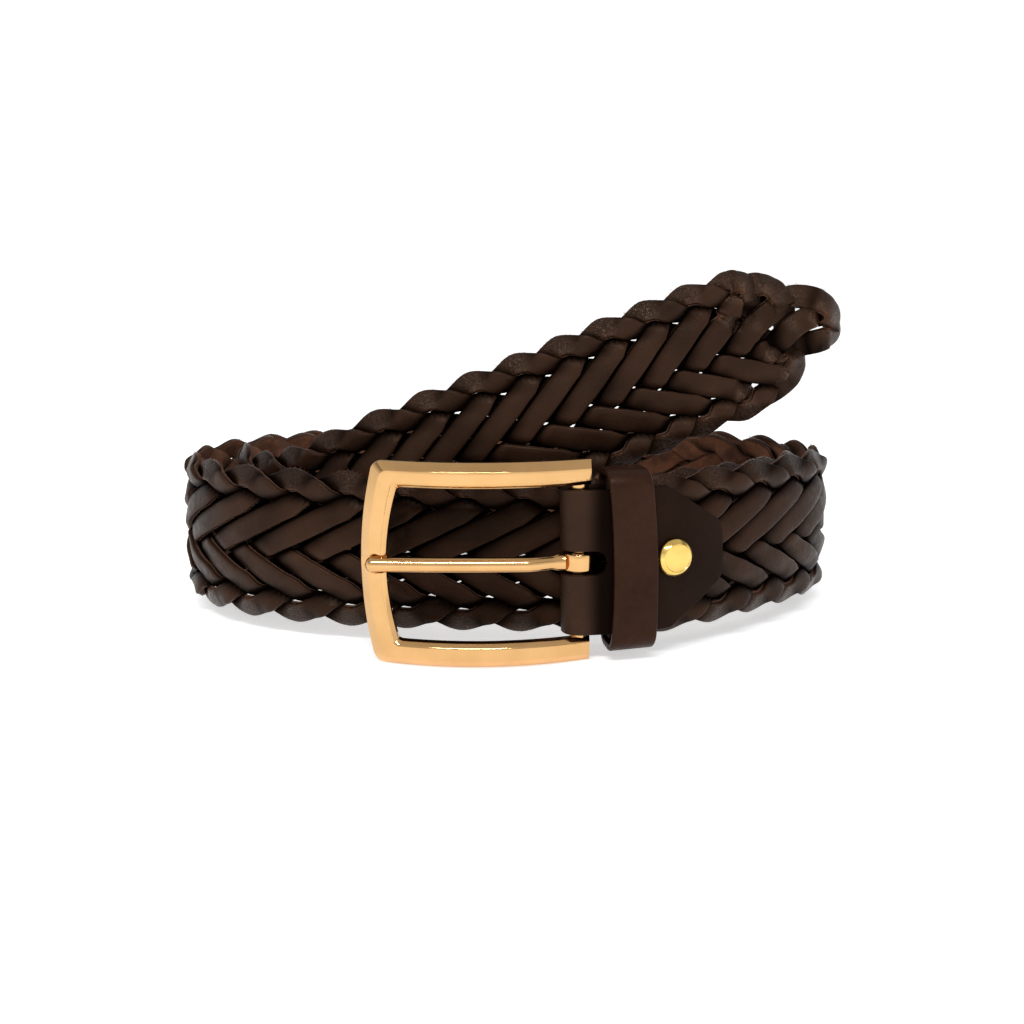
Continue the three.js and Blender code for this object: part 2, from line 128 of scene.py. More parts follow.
# The free end: across, deep, climb
FREE_END = [
    (-0.405, 1.46, 0.12),
    (-0.318, 1.17, 0.55),
    (-0.214, 1.03, 1),
    (-0.094, 1.00, 1),
    (0.050, 1.02, 1),
    (0.195, 1.07, 1),
    (0.340, 1.16, 1),
    (0.478, 1.29, 1),
    (0.610, 1.43, 1),
    (0.745, 1.50, 1),
]
ROUTE_START = 0.59
ROUTE_STEP = 0.01
TIP_ACROSS = 0.475


def smooth(x):
    x = np.clip(x, 0, 1)
    return x * x * (3 - 2 * x)


def lerp(a, b, share):
    return a + (b - a) * share


def lengths_along(places):
    """How far each place is from the first, along the line through them."""
    return np.concatenate([[0], np.cumsum(np.linalg.norm(np.diff(places, axis=0), axis=1))])


class Route:
    """The strap's centreline: a uniform cubic B-spline measured off by arc length, in millimetres."""

    def __init__(self):
        plan = np.array([(row[0] * COIL_WIDTH, LAP_FRONT + row[1] * COIL_DEPTH) for row in LAP])
        direction = np.roll(plan, -1, axis=0) - np.roll(plan, 1, axis=0)
        direction /= np.linalg.norm(direction, axis=1)[:, None]
        inward = np.stack([-direction[:, 1], direction[:, 0]], 1)
        insets = np.array([row[2:4] for row in LAP]) * LAYER_PITCH
        heights = HALF_WIDTH + np.array([row[4:6] for row in LAP]) * FRONT_LIFT
        first = np.column_stack([plan + inward * insets[:, :1], heights[:, 0]])
        second = np.column_stack([plan + inward * insets[:, 1:], heights[:, 1]])
        points = list(first) + list(second[:LAST_ROW_OF_SECOND_LAP + 1])
        slope = math.tan(math.radians(FREE_END_SLOPE))
        for across, deep, climb in FREE_END:
            x = across * COIL_WIDTH
            rising = FREE_END_HEIGHT - HALF_WIDTH + slope * x
            points.append((x, deep * FREE_END_DEPTH - LAYER_PITCH, HALF_WIDTH + climb * rising))
        self.controls = np.array(points)
        t = np.arange(ROUTE_START, len(points) - 2, ROUTE_STEP)
        places = self.spline(t)
        past = (t > len(LAP) + LAST_ROW_OF_SECOND_LAP) & (places[:, 0] > TIP_ACROSS * COIL_WIDTH)
        last = int(np.argmax(past)) + 1
        self.t = t
        self.length = lengths_along(places)
        self.end = float(self.length[last])

    def spline(self, t):
        """Places on the spline. Before its first row it takes its shape from the end of the first lap."""
        i = np.floor(t).astype(int)
        f = (t - i)[:, None]
        weights = [(1 - f) ** 3, 3 * f ** 3 - 6 * f ** 2 + 4, -3 * f ** 3 + 3 * f ** 2 + 3 * f + 1, f ** 3]
        total = np.zeros((len(t), 3))
        for k, weight in enumerate(weights):
            index = i + k - 1
            index = np.where(index < 0, index + len(LAP), index)
            index = np.minimum(index, len(self.controls) - 1)
            total += self.controls[index] * weight / 6
        return total

    def at(self, distance):
        """Centres and the directions along the strap, up its width and out of its face."""
        distance = np.asarray(distance, float)
        t = np.interp(distance, self.length, self.t)
        centre = self.spline(t)
        along = self.spline(t + ROUTE_STEP) - self.spline(t - ROUTE_STEP)
        along /= np.linalg.norm(along, axis=1)[:, None]
        before = np.minimum(distance, 0)[:, None]
        centre = centre + along * before
        up = np.array([0.0, 0.0, 1.0]) - along * along[:, 2:3]
        up /= np.linalg.norm(up, axis=1)[:, None]
        return centre, along, up, np.cross(along, up)

    def place(self, distance, across, outward):
        """Places from the distance along the strap, up from its middle line and out of its face."""
        centre, along, up, out = self.at(distance)
        return centre + up * np.asarray(across)[:, None] + out * np.asarray(outward)[:, None]


route = Route()

# The belt leans back as the frame's hinge does, and its bar is where the frame's hinge is
hinge = next(joint for joint in frame["joints"] if joint["name"] == "buckle_swing")
lean_axis = Vector(hinge["axis"]).normalized()
lean = math.atan2(lean_axis.y, lean_axis.z)
bar_local = Vector(route.at([0.0])[0][0])
turn = Matrix.Rotation(-lean, 4, "X")
to_frame = (Matrix.Translation(Vector(hinge["pos_m"])) @ turn @ Matrix.Scale(MM, 4)
            @ Matrix.Translation(-bar_local))
TO_FRAME = np.array(to_frame)


def placed(points):
    """Points of the level belt, in millimetres, where the leaning belt has them, in metres."""
    points = np.asarray(points, float)
    return points @ TO_FRAME[:3, :3].T + TO_FRAME[:3, 3]


def placed_at_bar(points):
    """Points measured from the buckle's bar, in millimetres, in the frame's metres."""
    return placed(np.asarray(points, float) + np.array(bar_local))


def add_object(name, data):
    made = bpy.data.objects.new(name, data)
    bpy.context.scene.collection.objects.link(made)
    return made


def mesh_piece(name, points, faces, materials, body, sharp_angle=None):
    mesh = bpy.data.meshes.new(name)
    mesh.from_pydata([tuple(p) for p in points], [], [tuple(f) for f in faces])
    mesh.update()
    mesh.shade_smooth()
    if sharp_angle is not None:
        mesh.set_sharp_from_angle(angle=math.radians(sharp_angle))
    for material in materials:
        mesh.materials.append(material)
    piece = add_object(name, mesh)
    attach(piece, body)
    return piece


def point_attribute(piece, name, values):
    layer = piece.data.attributes.new(name, "FLOAT", "POINT")
    layer.data.foreach_set("value", np.asarray(values, np.float32).ravel())


def face_materials(piece, indices):
    indices = np.asarray(indices, np.int32)
    padded = np.zeros(len(piece.data.polygons), np.int32)
    padded[:len(indices)] = indices
    piece.data.polygons.foreach_set("material_index", padded)


def ring_faces(rings, count, first=0, closed=False):
    """Quads between rings of points, from the point number first on, capped or joined end to end."""
    spans = rings if closed else rings - 1
    a = np.arange(spans)[:, None] * count + np.arange(count)[None, :]
    b = np.arange(spans)[:, None] * count + (np.arange(count)[None, :] + 1) % count
    total = rings * count
    quads = np.stack([a, b, (b + count) % total, (a + count) % total], -1).reshape(-1, 4) + first
    faces = [tuple(q) for q in quads.tolist()]
    if not closed:
        faces.append(tuple(reversed(range(first, first + count))))
        faces.append(tuple(range(first + total - count, first + total)))
    return faces


# Materials

def new_material(name):
    material = bpy.data.materials.new(name)
    material.use_nodes = True
    tree = material.node_tree
    shader = tree.nodes["Principled BSDF"]
    return material, tree, shader


def node(tree, kind, **values):
    made = tree.nodes.new(kind)
    for key, value in values.items():
        setattr(made, key, value)
    return made


def set_inputs(made, values):
    for name, value in values.items():
        made.inputs[name].default_value = value


def noise_node(tree, vector, scale, detail=4.0, roughness=0.55, distortion=0.0):
    made = node(tree, "ShaderNodeTexNoise")
    set_inputs(made, {"Scale": scale, "Detail": detail, "Roughness": roughness, "Distortion": distortion})
    tree.links.new(vector, made.inputs["Vector"])
    return made


def ramp_node(tree, source, stops):
    made = node(tree, "ShaderNodeValToRGB")
    elements = made.color_ramp.elements
    while len(elements) < len(stops):
        elements.new(0.5)
    for element, (position, colour) in zip(elements, stops):
        element.position = position
        element.color = (*colour, 1)
    tree.links.new(source, made.inputs["Fac"])
    return made


def range_node(tree, source, low, high, from_low=0.0, from_high=1.0):
    made = node(tree, "ShaderNodeMapRange")
    set_inputs(made, {"From Min": from_low, "From Max": from_high, "To Min": low, "To Max": high})
    tree.links.new(source, made.inputs["Value"])
    return made.outputs["Result"]


def bump_node(tree, height, strength, distance, below=None):
    made = node(tree, "ShaderNodeBump")
    set_inputs(made, {"Strength": strength, "Distance": distance})
    tree.links.new(height, made.inputs["Height"])
    if below is not None:
        tree.links.new(below, made.inputs["Normal"])
    return made.outputs["Normal"]


def multiply_node(tree, first, second):
    made = node(tree, "ShaderNodeMath", operation="MULTIPLY")
    tree.links.new(first, made.inputs[0])
    tree.links.new(second, made.inputs[1])
    return made.outputs[0]


def mix_colours(tree, factor, first, second):
    """A linked colour mixed with a fixed one, through the node's colour sockets."""
    made = node(tree, "ShaderNodeMix", data_type="RGBA")
    tree.links.new(factor, made.inputs[0])
    tree.links.new(first, made.inputs[6])
    made.inputs[7].default_value = (*second, 1)
    return made.outputs[2]


def noise_colour(tree, noise, low, dark, high, light):
    return ramp_node(tree, noise.outputs["Fac"], [(low, dark), (high, light)]).outputs["Color"]


def attribute_node(tree, name):
    return node(tree, "ShaderNodeAttribute", attribute_name=name).outputs["Fac"]


def link_surface(tree, shader, colour, rough, normal):
    tree.links.new(colour, shader.inputs["Base Color"])
    tree.links.new(rough, shader.inputs["Roughness"])
    tree.links.new(normal, shader.inputs["Normal"])


# Scales of the noises that mark the surfaces, per metre, and depths of their bumps, in metres
LEATHER_BLOTCHES = 70.0
PORES = 1900.0
PORE_DEPTH = 0.00012
MOTTLES = 520.0
MOTTLE_DEPTH = 0.00018
WRINKLES = 1300.0
WRINKLE_DEPTH = 0.00042
WORN_PATCHES = 260.0
FLESH_BLOTCHES = 160.0
FLESH_FIBRES = 2300.0
FLESH_FIBRE_DEPTH = 0.0005
SMEARS = 140.0
PITS = 900.0
PIT_DEPTH = 0.00008

# Parts of a noise's range that are spread over the whole range of a look
MOTTLE_RANGE = (0.3, 0.7)
PATCH_RANGE = (0.42, 0.68)
BEND_RANGE = (0.35, 0.95)

# Leather's tints, the near-black colour of its painted shade, and its gloss where a strip bends
SPECULAR_TINT = (1.0, 0.66, 0.48, 1)
SHEEN_TINT = (0.9, 0.5, 0.35, 1)
RUBBED_EDGE = (0.075, 0.027, 0.013)
PAINTED_SHADE_COLOUR = (0.0016, 0.0008, 0.0006)
BENT_SPECULAR = 0.46
BENT_SMOOTHER = 0.45


def leather_material(name, dark, light, roughness, specular, wrinkled=False):
    """Grained leather. Attributes say where painted shade darkens its colour and gloss, where a strip bends
    and where its edge is rubbed.
    """
    material, tree, shader = new_material(name)
    shader.inputs["Specular Tint"].default_value = SPECULAR_TINT
    place = node(tree, "ShaderNodeTexCoord").outputs["Object"]
    blotch = noise_node(tree, place, LEATHER_BLOTCHES, 5.0)
    colour = noise_colour(tree, blotch, 0.32, dark, 0.7, light)
    pores = node(tree, "ShaderNodeTexVoronoi")
    pores.inputs["Scale"].default_value = PORES
    tree.links.new(place, pores.inputs["Vector"])
    mottle = noise_node(tree, place, MOTTLES, 4.0, 0.65).outputs["Fac"]
    normal = bump_node(tree, pores.outputs["Distance"], 0.22, PORE_DEPTH)
    normal = bump_node(tree, mottle, 0.35, MOTTLE_DEPTH, normal)
    rough = range_node(tree, mottle, roughness - 0.1, roughness + 0.12, *MOTTLE_RANGE)
    gloss = range_node(tree, mottle, specular * 0.8, specular * 1.2, *MOTTLE_RANGE)
    if wrinkled:
        bend = attribute_node(tree, "bend")
        rubbed = attribute_node(tree, "rubbed")
        wrinkles = noise_node(tree, place, WRINKLES, 3.0, 0.6, 1.2)
        height = multiply_node(tree, wrinkles.outputs["Fac"], bend)
        normal = bump_node(tree, height, 0.95, WRINKLE_DEPTH, normal)
        patches = noise_node(tree, place, WORN_PATCHES, 3.0).outputs["Fac"]
        wear = multiply_node(tree, rubbed, range_node(tree, patches, 0.0, 1.0, *PATCH_RANGE))
        colour = mix_colours(tree, wear, colour, RUBBED_EDGE)
        gloss = range_node(tree, bend, specular, BENT_SPECULAR, *BEND_RANGE)
        rough = multiply_node(tree, rough, range_node(tree, bend, 1.0, BENT_SMOOTHER, *BEND_RANGE))
    # Painted shade: where the painted light attribute falls below 1, the gloss is cut and the colour is
    # mixed towards near-black
    painted_light = attribute_node(tree, "painted_light")
    tree.links.new(multiply_node(tree, gloss, painted_light), shader.inputs["Specular IOR Level"])
    colour = mix_colours(tree, range_node(tree, painted_light, 1.0, 0.0), colour, PAINTED_SHADE_COLOUR)
    link_surface(tree, shader, colour, rough, normal)
    return material


def flesh_material(name, dark, light):
    """The raw back and cut edges of the strips: matt, fibrous and reddish."""
    material, tree, shader = new_material(name)
    set_inputs(shader, {"Specular IOR Level": 0.12, "Sheen Weight": 0.25, "Sheen Roughness": 0.5,
                        "Sheen Tint": SHEEN_TINT})
    place = node(tree, "ShaderNodeTexCoord").outputs["Object"]
    blotch = noise_node(tree, place, FLESH_BLOTCHES, 6.0, 0.7)
    fibres = noise_node(tree, place, FLESH_FIBRES, 4.0, 0.8, 2.0).outputs["Fac"]
    colour = noise_colour(tree, blotch, 0.36, dark, 0.66, light)
    normal = bump_node(tree, fibres, 0.9, FLESH_FIBRE_DEPTH)
    rough = range_node(tree, fibres, 0.75, 0.98)
    link_surface(tree, shader, colour, rough, normal)
    return material


def metal_material(name, dark, light, roughness):
    """Polished plating with faint smears and a few fine pits."""
    material, tree, shader = new_material(name)
    shader.inputs["Metallic"].default_value = 1.0
    place = node(tree, "ShaderNodeTexCoord").outputs["Object"]
    smears = noise_node(tree, place, SMEARS, 5.0)
    colour = noise_colour(tree, smears, 0.3, dark, 0.6, light)
    rough = range_node(tree, smears.outputs["Fac"], roughness - 0.03, roughness + 0.06, *MOTTLE_RANGE)
    pits = noise_node(tree, place, PITS, 2.0)
    normal = bump_node(tree, pits.outputs["Fac"], 0.04, PIT_DEPTH)
    link_surface(tree, shader, colour, rough, normal)
    return material


braid_leather = leather_material("braid_leather", (0.0105, 0.0046, 0.0026), (0.03, 0.013, 0.0071),
                                 0.42, 0.18, wrinkled=True)
edge_leather = flesh_material("edge_leather", (0.018, 0.008, 0.005), (0.060, 0.024, 0.012))
fibre_leather = flesh_material("fibre_leather", (0.090, 0.030, 0.014), (0.260, 0.100, 0.048))
back_leather = flesh_material("back_leather", (0.050, 0.020, 0.011), (0.215, 0.082, 0.038))
chape_leather = leather_material("chape_leather", (0.017, 0.008, 0.005), (0.03, 0.0142, 0.009),
                                 0.48, 0.18)
keeper_leather = leather_material("keeper_leather", (0.0165, 0.0058, 0.003), (0.031, 0.0108, 0.0056),
                                  0.42, 0.20)
buckle_gold = metal_material("buckle_gold", (0.600, 0.352, 0.142), (0.665, 0.395, 0.168), 0.10)
rivet_gold = metal_material("rivet_gold", (0.74, 0.49, 0.13), (0.88, 0.60, 0.18), 0.15)


# The braid: ten strips that zigzag across the strap

STRIPS = 10
STRIP_WIDTH = 5.45
STRIP_WIDTH_AT_TIP = 5.5
STRIP_THICKNESS = 1.75

# The zigzag, in millimetres along the strap. A change is given by its two distances from the tip
PITCH = 12.9
PITCH_AT_TIP = 10.3
PITCH_CHANGE = (150.0, 40.0)
LAST_TOP_ARCH = 22.7
ARCH = 3.4
ARCH_PAST_EDGE = 0.85
SHEAR_AT_TIP = 4.5
SHEAR_CHANGE = (120.0, 40.0)
WIDTH_CHANGE = (34.0, 14.0)
TIP_DROP = 2.1
TIP_DROP_LENGTH = 42.0
STRIP_STEP = 0.8
TIP_STEP = 0.4
TABLE_STEP = 0.5
TABLE_MARGIN = 20.0

# How strips lie over each other: the levels of the crossings that a strip meets on its way down, how much
# of the way between two crossings it takes to change level, and how much narrower it gets there
LEVELS = {1: 1, 2: -0.8, 3: -1.1, 4: -1.1, 5: -0.8, 6: 0.8, 7: 1.15, 8: 0.8, 9: -1}
LAYER_HEIGHT = 1.15
LEVEL_CHANGE = 0.8
PINCH = 0.31
PINCH_SPREAD = 0.35

# How a strip turns over where it bends and tilts where it lies on top. Roll and shingle are degrees
ROLL_BY_CURVE = 3.3
LARGEST_ROLL = 38.0
BENT_CURVE = 0.17
SHINGLE = 13.0
SHINGLE_SHARPNESS = 1.6

# Where a strip's edge counts as rubbed, as a share of its half width, and how much, flat and bent
RUBBED_FROM = 0.8
RUBBED_OVER = 0.2
RUBBED_FLAT = 0.12
RUBBED_BENT = 0.88

# Painted light: how far out of the strap's middle leather is painted lit instead of shaded, in millimetres,
# and how much at bends
PAINTED_LIGHT_FROM = 1.0
PAINTED_LIGHT_OVER = 1.05
PAINTED_LIGHT_AT_BEND = 0.66
PAINTED_LIGHT_SHARPNESS = 1.4

# Where the strap lies in the buckle's shade: the middle and half width in millimetres, and how dark
BUCKLE_SHADE = (-8.0, 22.0, 0.38)

# How each strip ends at the tip: where it leaves its regular zigzag, in millimetres from the tip, and then
# its places as distance from the tip, place across the strap and level, which is 1 in front and -1 behind
TIP_PATHS = {
    0: (22.7, [(19.4, 13.6, 0.9), (18.8, 10.0, 0.6), (20.2, 6.6, -0.6), (21.6, 4.4, -1.1)]),
    1: (27.0, [(23.0, 10.9, 0.6), (20.3, 12.3, -0.6), (17.6, 12.6, -0.2), (14.4, 11.4, 0.4),
               (12.6, 8.4, 0.9), (12.3, 5.2, 0.7), (12.6, 2.4, -0.5), (13.6, -0.2, -1.1),
               (15.0, -1.8, -1.2)]),
    2: (25.0, [(20.0, 3.7, 1.0), (15.2, 5.5, 0.9), (12.0, 6.7, -0.4), (9.4, 6.8, -0.7), (6.4, 5.7, 0.1),
               (3.3, 3.3, 0.7), (2.0, 0.6, 1.0), (2.5, -1.6, 1.0), (3.9, -3.3, 0.8)]),
    3: (27.0, [(21.5, -5.2, -1.0), (16.6, -2.2, 0.3), (12.0, 0.3, 1.2), (7.4, 1.1, 1.1), (4.6, 0.6, 0.0),
               (3.2, 0.3, -0.9)]),
    4: (19.0, []),
    5: (31.0, [(26.5, -13.2, -0.8), (22.2, -13.0, -0.4), (18.4, -12.0, 0.1), (15.3, -10.0, 0.6),
               (13.5, -7.3, 0.6), (13.1, -4.2, -0.6), (13.3, -2.0, -1.2)]),
    6: (21.0, [(15.9, -10.4, -0.9), (15.0, -9.6, -1.2)]),
    7: (21.0, [(17.4, -7.2, 0.5), (15.2, -7.6, -0.9), (14.0, -7.6, -1.2)]),
    8: (24.0, [(18.0, -1.6, -1.1), (13.0, -4.0, -0.5), (8.6, -4.8, 0.5), (5.4, -5.1, 0.6), (3.1, -4.6, 0.2),
               (2.3, -2.4, -0.4), (3.0, 0.4, -1.0), (5.0, 2.0, -1.1)]),
    9: (16.5, []),
}

# Section of a strip, as shares of its half width and half thickness, grain side first
STRIP_SECTION = [
    (-1.00, -0.10), (-0.99, 0.46), (-0.94, 0.78), (-0.82, 0.94), (-0.42, 1.02), (0.00, 1.05), (0.42, 1.02),
    (0.82, 0.94), (0.94, 0.78), (0.99, 0.46), (1.00, -0.10), (0.99, -0.80), (0.90, -1.00), (0.40, -1.00),
    (-0.40, -1.00), (-0.90, -1.00), (-0.99, -0.80),
]
GRAIN_FACES = 10
GRAIN, EDGE, BACK = 0, 1, 2
SECTION_MATERIALS = [GRAIN] * GRAIN_FACES + [EDGE, EDGE, BACK, BACK, BACK, EDGE, EDGE]


def away_from_tip(distance, change):
    """From 0 near the tip to 1 away from it, between the change's two distances from the tip."""
    return smooth((route.end - distance - change[1]) / (change[0] - change[1]))


def phase_table():
    """Phase of the zigzag, in cycles, and its pitch, at even distances along the strap."""
    distance = np.arange(-TABLE_MARGIN, route.end + TABLE_MARGIN, TABLE_STEP)
    pitch = lerp(PITCH_AT_TIP, PITCH, away_from_tip(distance, PITCH_CHANGE))
    phase = np.concatenate([[0], np.cumsum(TABLE_STEP / (STRIPS * pitch[:-1]))])
    return distance, phase - np.interp(route.end - LAST_TOP_ARCH, distance, phase), pitch


PHASE_DISTANCE, PHASE, PITCHES = phase_table()


def crossing_levels():
    """Levels at the crossings of one cycle. On the way up they are those of the way down, turned over."""
    levels = np.zeros(2 * STRIPS)
    for row, level in LEVELS.items():
        levels[row] = level
        levels[2 * STRIPS - row] = -level
    return levels


CROSSING_LEVELS = crossing_levels()


def level_at(phase):
    """Level of a strip at a phase of its zigzag, about -1 behind and 1 in front, and how fast it changes."""
    scaled = (phase % 1.0) * 2 * STRIPS
    low = np.floor(scaled).astype(int) % (2 * STRIPS)
    high = (low + 1) % (2 * STRIPS)
    past = scaled - np.floor(scaled)
    mix = smooth((past - 0.5) / LEVEL_CHANGE + 0.5)
    before = CROSSING_LEVELS[low]
    after = CROSSING_LEVELS[high]
    change = np.abs(after - before) / 2 * np.exp(-((past - 0.5) / PINCH_SPREAD) ** 2)
    return before * (1 - mix) + after * mix, change


def regular_path(index, last):
    """A strip's zigzag up to a distance: places along and across the strap, phase and slope."""
    distance = np.arange(STRAP_START, last, STRIP_STEP)
    phase = np.interp(distance, PHASE_DISTANCE, PHASE) - index / STRIPS
    cycle = STRIPS * np.interp(distance, PHASE_DISTANCE, PITCHES)
    amplitude = HALF_WIDTH - STRIP_WIDTH / 2 + ARCH_PAST_EDGE
    fraction = phase % 1.0
    to_top = np.where(fraction < 0.5, fraction, fraction - 1.0) * cycle
    to_bottom = (fraction - 0.5) * cycle
    slope = 4 * amplitude / cycle
    across = amplitude - slope * np.abs(to_top)
    rounded_top = amplitude - slope * (to_top ** 2 / (2 * ARCH) + ARCH / 2)
    rounded_bottom = -amplitude + slope * (to_bottom ** 2 / (2 * ARCH) + ARCH / 2)
    across = np.where(np.abs(to_top) < ARCH, rounded_top, across)
    across = np.where(np.abs(to_bottom) < ARCH, rounded_bottom, across)
    near_tip = 1 - away_from_tip(distance, SHEAR_CHANGE)
    sheared = distance + SHEAR_AT_TIP * near_tip * (1 - across / amplitude) / 2
    return sheared, across, phase, slope


CURVE_STEPS = 40


def curve_through(rows):
    """Even places on a smooth curve through rows of numbers, the first two of them a place in mm."""
    rows = np.array(rows)
    padded = np.vstack([2 * rows[0] - rows[1], rows, 2 * rows[-1] - rows[-2]])
    pieces = []
    for k in range(1, len(padded) - 2):
        before, start, finish, after = padded[k - 1:k + 3]
        f = np.linspace(0, 1, CURVE_STEPS, endpoint=False)[:, None]
        square = 2 * before - 5 * start + 4 * finish - after
        cube = 3 * start - before - 3 * finish + after
        pieces.append(0.5 * (2 * start + (finish - before) * f + square * f ** 2 + cube * f ** 3))
    fine = np.vstack(pieces + [rows[-1:]])
    length = np.concatenate([[0], np.cumsum(np.hypot(*np.diff(fine[:, :2], axis=0).T))])
    even = np.arange(TIP_STEP, length[-1], TIP_STEP)
    return np.column_stack([np.interp(even, length, fine[:, k]) for k in range(fine.shape[1])])


# The point of the zigzag from whose direction a strip goes on to its own end, counted from the last
KEPT_POINT = 3


def strip_path(index):
    """A strip's whole middle line: places along and across, level and its change, phase, slope, and where
    it is regular."""
    leaves_at, rows = TIP_PATHS[index]
    distance, across, phase, slope = regular_path(index, route.end - leaves_at)
    level, change = level_at(phase)
    regular = np.ones(len(distance), bool)
    if rows:
        start = [(distance[-k], across[-k], level[-k]) for k in (KEPT_POINT, 1)]
        finish = [(route.end - from_tip, place, height) for from_tip, place, height in rows]
        extra = curve_through(start + finish)
        past = np.hypot(extra[:, 0] - distance[-1], extra[:, 1] - across[-1])
        extra = extra[int(np.argmin(past)) + 1:]
        none = np.zeros(len(extra))
        distance = np.concatenate([distance, extra[:, 0]])
        across = np.concatenate([across, extra[:, 1]])
        level = np.concatenate([level, extra[:, 2]])
        change = np.concatenate([change, none])
        phase = np.concatenate([phase, none])
        slope = np.concatenate([slope, none + slope[-1]])
        regular = np.concatenate([regular, none > 1])
    return distance, across, level, change, phase, slope, regular


def strip_points(index):
    """Points of one strip, ring by ring, and for each how much the strip bends, how rubbed its edge is and
    how much painted light it gets."""
    distance, across, level, change, phase, slope, regular = strip_path(index)
    forward = np.gradient(distance)
    upward = np.gradient(across)
    step = np.hypot(forward, upward)
    tilt = np.unwrap(np.arctan2(upward, forward))
    curve = np.convolve(np.pad(np.gradient(tilt) / step, 2, "edge"), np.full(5, 0.2), "valid")
    limit = math.radians(LARGEST_ROLL)
    roll = np.clip(-ROLL_BY_CURVE * curve, -limit, limit)
    bend = np.clip(np.abs(curve) / BENT_CURVE, 0, 1)
    from_tip = route.end - distance
    across = across - TIP_DROP * smooth((TIP_DROP_LENGTH - from_tip) / TIP_DROP_LENGTH)
    width = lerp(STRIP_WIDTH_AT_TIP, STRIP_WIDTH, away_from_tip(distance, WIDTH_CHANGE))
    section = np.array(STRIP_SECTION)
    q = section[None, :, 0] * (width / 2 * (1 - PINCH * change))[:, None]
    h = section[None, :, 1] * STRIP_THICKNESS / 2
    sideways = q * np.cos(roll)[:, None] + h * np.sin(roll)[:, None]
    point_distance = distance[:, None] - sideways * np.sin(tilt)[:, None]
    point_across = across[:, None] + sideways * np.cos(tilt)[:, None]
    angle = np.arctan(slope)
    cycle = STRIPS * np.interp(distance, PHASE_DISTANCE, PITCHES)
    skew = np.cos(2 * angle) / (2 * np.sin(angle)) / cycle
    facing = np.clip(np.tan(tilt) / slope, -1, 1)
    effective = phase[:, None] + q * (skew * facing)[:, None]
    levels = np.where(regular[:, None], level_at(effective)[0], level[:, None])
    height = levels * LAYER_HEIGHT + h * np.cos(roll)[:, None] - q * np.sin(roll)[:, None]
    over = smooth(levels * SHINGLE_SHARPNESS) * (1 - bend[:, None])
    height -= over * q * facing[:, None] * math.tan(math.radians(SHINGLE))
    points = route.place(point_distance.ravel(), point_across.ravel(), height.ravel())
    bends = np.repeat(bend[:, None], section.shape[0], 1)
    at_edge = np.clip((np.abs(section[:, 0]) - RUBBED_FROM) / RUBBED_OVER, 0, 1)[None, :]
    rubbed = at_edge * (RUBBED_FLAT + RUBBED_BENT * bends)
    # Painted light and shade: deep places get painted shade, bends get painted light, and the strap behind
    # the buckle gets a painted shadow
    by_height = smooth((np.abs(height) - PAINTED_LIGHT_FROM) / PAINTED_LIGHT_OVER)
    painted_light = np.maximum(by_height, PAINTED_LIGHT_AT_BEND * smooth(bends * PAINTED_LIGHT_SHARPNESS))
    middle, half, darkness = BUCKLE_SHADE
    behind_buckle = np.exp(-((points[:, 0] - middle) / half) ** 4) * (points[:, 1] < 0)
    painted_light = painted_light * (1 - darkness * behind_buckle.reshape(q.shape))
    return points, q.shape, bends, rubbed, painted_light


def build_strips():
    strips = []
    for index in range(STRIPS):
        points, (rings, count), bend, rubbed, painted_light = strip_points(index)
        strip = mesh_piece("strip_%02d" % (index + 1), placed(points), ring_faces(rings, count),
                           [braid_leather, edge_leather, back_leather], "root")
        face_materials(strip, SECTION_MATERIALS * (rings - 1))
        point_attribute(strip, "bend", bend)
        point_attribute(strip, "rubbed", rubbed)
        point_attribute(strip, "painted_light", painted_light)
        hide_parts("braided_strap")
        strips.append(strip)
    return strips


# Loose fibres: from how sharp a bend and how high a rise of the edge, how many, and sizes in millimetres
FIBRES_FROM_BEND = 0.45
FIBRES_FROM_RISE = 0.1
FIBRES_A_RING = 3
FIBRE_LENGTHS = (0.25, 0.75)
FIBRE_RADIUS = 0.05
FIBRE_TAPER = 0.35
FIBRE_ROOT = 3
FIBRE_LEAN = 0.55
FIBRE_BEND = 0.7


def fibre_faces():
    """A fibre's faces: three rings of three points, with a cap at either end."""
    faces = [(2, 1, 0), (6, 7, 8)]
    for k in (0, 3):
        for i in range(3):
            after = (i + 1) % 3
            faces.append((k + i, k + after, k + 3 + after, k + 3 + i))
    return faces


